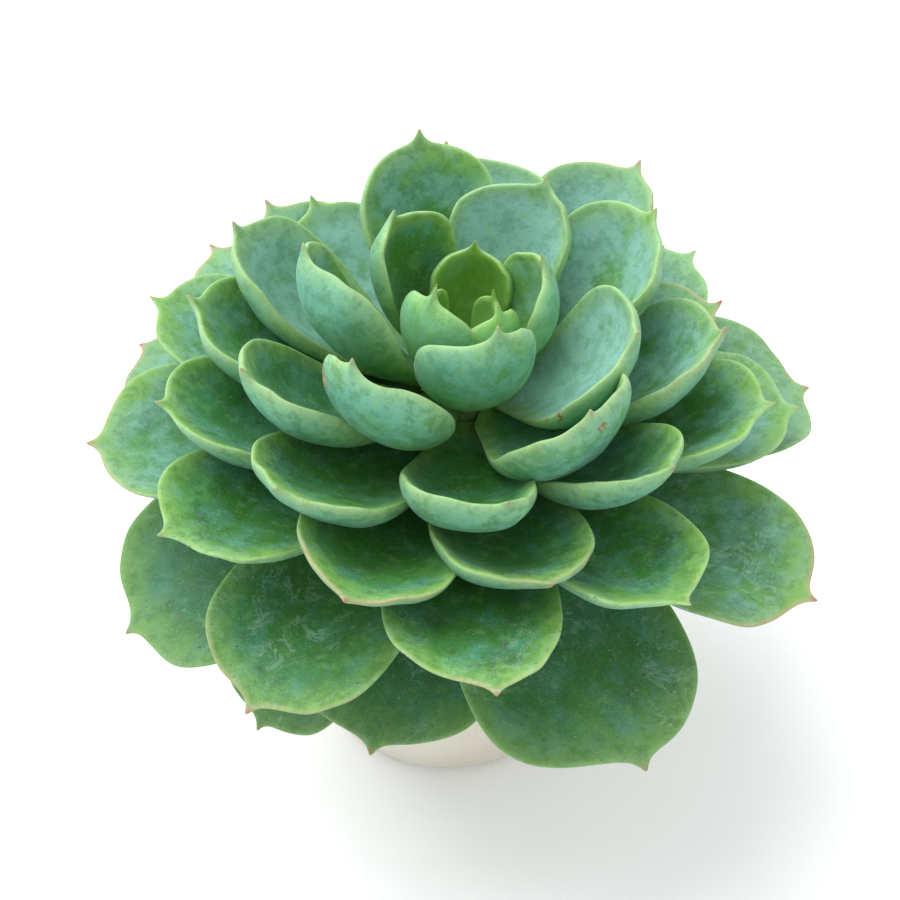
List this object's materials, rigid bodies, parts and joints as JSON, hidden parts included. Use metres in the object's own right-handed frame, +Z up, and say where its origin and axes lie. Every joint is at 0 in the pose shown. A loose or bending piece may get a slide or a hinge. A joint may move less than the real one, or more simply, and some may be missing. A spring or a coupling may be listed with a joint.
{
  "type": "potted succulent",
  "caption": "Rosette succulent with thick spoon-shaped, pointed leaves in a spiral on a short stem, set in soil in a plain round tapered pot.",
  "frame": {"origin": "centre of the pot's flat underside", "axes": "+Z up, out of the pot; the stem leans slightly towards +X; -Y is the side the plant is seen from"},
  "size_m": [0.1393, 0.1388, 0.124],
  "materials": {
    "pot": null,
    "soil": null,
    "stem": "matte green to brown, woody",
    "leaf": null
  },
  "bodies": {
    "root": {"pot": "pot", "soil": "soil", "stem": "stem", "leaf_01": "leaf", "leaf_02": "leaf", "leaf_03": "leaf", "leaf_04": "leaf", "leaf_05": "leaf", "leaf_06": "leaf", "leaf_07": "leaf", "leaf_08": "leaf", "leaf_09": "leaf", "leaf_10": "leaf", "leaf_11": "leaf", "leaf_12": "leaf", "leaf_13": "leaf", "leaf_14": "leaf", "leaf_15": "leaf", "leaf_16": "leaf", "leaf_17": "leaf", "leaf_18": "leaf", "leaf_19": "leaf", "leaf_20": "leaf", "leaf_21": "leaf", "leaf_22": "leaf", "leaf_23": "leaf", "leaf_24": "leaf", "leaf_25": "leaf", "leaf_26": "leaf", "leaf_27": "leaf", "leaf_28": "leaf", "leaf_29": "leaf", "leaf_30": "leaf", "leaf_31": "leaf", "leaf_32": "leaf", "leaf_33": "leaf", "leaf_34": "leaf", "leaf_35": "leaf", "leaf_36": "leaf", "leaf_37": "leaf", "leaf_38": "leaf", "leaf_39": "leaf", "leaf_40": "leaf", "leaf_41": "leaf", "leaf_42": "leaf", "leaf_43": "leaf", "leaf_44": "leaf", "leaf_45": "leaf", "leaf_46": "leaf", "leaf_47": "leaf", "leaf_48": "leaf", "leaf_49": "leaf", "leaf_50": "leaf", "leaf_51": "leaf", "leaf_52": "leaf", "leaf_53": "leaf", "leaf_54": "leaf", "leaf_55": "leaf"}
  },
  "joints": []
}
